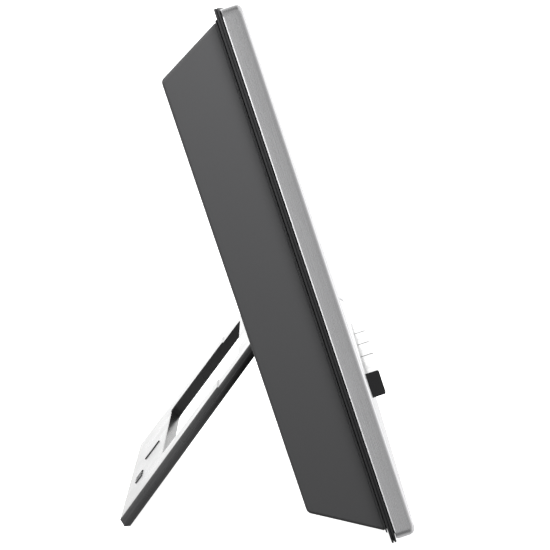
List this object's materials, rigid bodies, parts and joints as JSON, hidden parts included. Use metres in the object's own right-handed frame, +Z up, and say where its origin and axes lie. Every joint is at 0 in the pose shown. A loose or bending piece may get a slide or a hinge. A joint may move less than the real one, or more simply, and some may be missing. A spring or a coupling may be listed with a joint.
{
  "type": "digital photo frame",
  "caption": "Tabletop digital photo frame: brushed bezel, tapered rear housing, row of front keys and a fold-out rear leg with a window.",
  "frame": {"origin": "on the surface it stands on, under the middle of its box", "axes": "+X to the viewer's right, -Y towards the viewer in front of the screen, +Z up; the face leans back 15.3 degrees"},
  "size_m": [0.2266, 0.0988, 0.1764],
  "materials": {
    "brushed_bezel": "brushed along its length, with a bright chamfer at the back edge",
    "housing_plastic": "fine matte moulded texture",
    "rim_plastic": "smooth satin",
    "leg_plastic": "satin with a soft gloss",
    "key_plastic": "soft gloss",
    "knob_plastic": "satin",
    "pad_rubber": "matte",
    "pin_steel": "ground",
    "hinge_steel": "zinc plated sheet",
    "bracket_steel": "zinc plated sheet",
    "screw_zinc": "zinc plated",
    "socket_steel": "tin plated sheet",
    "battery_steel": "polished can",
    "board_green": "green solder mask on glass fibre laminate",
    "chip_black": "moulded epoxy",
    "socket_black": "moulded",
    "switch_body": "moulded",
    "speaker_black": "coated paper cone in a plastic basket",
    "flex_amber": "polyimide film",
    "connector_cream": "moulded",
    "window_glass": "clear",
    "lcd_glass": "dark polariser over glass",
    "backlight_white": "white moulded tray",
    "infrared_lens": "dark tinted"
  },
  "bodies": {
    "frame": {"backlight": "backlight_white", "base_pad_left": "pad_rubber", "base_pad_right": "pad_rubber", "battery_holder": "socket_black", "bezel": "brushed_bezel", "board_screw_1": "screw_zinc", "board_screw_2": "screw_zinc", "board_screw_3": "screw_zinc", "board_screw_4": "screw_zinc", "bracket_screw_1": "screw_zinc", "bracket_screw_2": "screw_zinc", "bracket_screw_3": "screw_zinc", "bracket_screw_4": "screw_zinc", "card_socket": "socket_steel", "case_screw_1": "screw_zinc", "case_screw_2": "screw_zinc", "case_screw_3": "screw_zinc", "case_screw_4": "screw_zinc", "clock_battery": "battery_steel", "display_cable": "flex_amber", "display_connector": "connector_cream", "display_screw_1": "screw_zinc", "display_screw_2": "screw_zinc", "display_screw_3": "screw_zinc", "display_screw_4": "screw_zinc", "front_window": "window_glass", "hinge_bracket_left": "hinge_steel", "hinge_bracket_right": "hinge_steel", "infrared_receiver": "chip_black", "infrared_window": "infrared_lens", "key_board": "board_green", "key_board_screw_1": "screw_zinc", "key_board_screw_2": "screw_zinc", "lcd_bracket": "bracket_steel", "lcd_panel": "lcd_glass", "main_board": "board_green", "memory_chip": "chip_black", "mid_frame": "rim_plastic", "power_socket": "socket_black", "power_switch": "socket_black", "processor": "chip_black", "rear_housing": "housing_plastic", "speaker_left": "speaker_black", "speaker_right": "speaker_black", "tact_switch_1": "switch_body", "tact_switch_2": "switch_body", "tact_switch_3": "switch_body", "tact_switch_4": "switch_body", "usb_socket": "socket_steel"},
    "leg": {"stand_leg": "leg_plastic", "leg_pad_left": "pad_rubber", "leg_pad_right": "pad_rubber", "hinge_pin_left": "pin_steel", "hinge_pin_right": "pin_steel"},
    "key_menu_cap": {"key_menu": "key_plastic"},
    "key_left_cap": {"key_left": "key_plastic"},
    "key_right_cap": {"key_right": "key_plastic"},
    "key_play_cap": {"key_play": "key_plastic"},
    "switch_knob": {"power_switch_knob": "knob_plastic"}
  },
  "joints": [
    {"name": "leg_fold", "type": "hinge", "parent": "frame", "child": "leg", "pos_m": [0, -0.00329, 0.06266], "axis": [1, 0, 0], "range_deg": [-55, 0]},
    {"name": "key_menu_press", "type": "slide", "parent": "frame", "child": "key_menu_cap", "axis": [0, 0.9644, -0.2644], "range_m": [0, 0.0008], "stiffness_N_per_m": 800, "springref_m": -0.0003},
    {"name": "key_left_press", "type": "slide", "parent": "frame", "child": "key_left_cap", "axis": [0, 0.9644, -0.2644], "range_m": [0, 0.0008], "stiffness_N_per_m": 800, "springref_m": -0.0003},
    {"name": "key_right_press", "type": "slide", "parent": "frame", "child": "key_right_cap", "axis": [0, 0.9644, -0.2644], "range_m": [0, 0.0008], "stiffness_N_per_m": 800, "springref_m": -0.0003},
    {"name": "key_play_press", "type": "slide", "parent": "frame", "child": "key_play_cap", "axis": [0, 0.9644, -0.2644], "range_m": [0, 0.0008], "stiffness_N_per_m": 800, "springref_m": -0.0003},
    {"name": "power_slide", "type": "slide", "parent": "frame", "child": "switch_knob", "axis": [0, 0.2644, 0.9644], "range_m": [0, 0.003]}
  ]
}
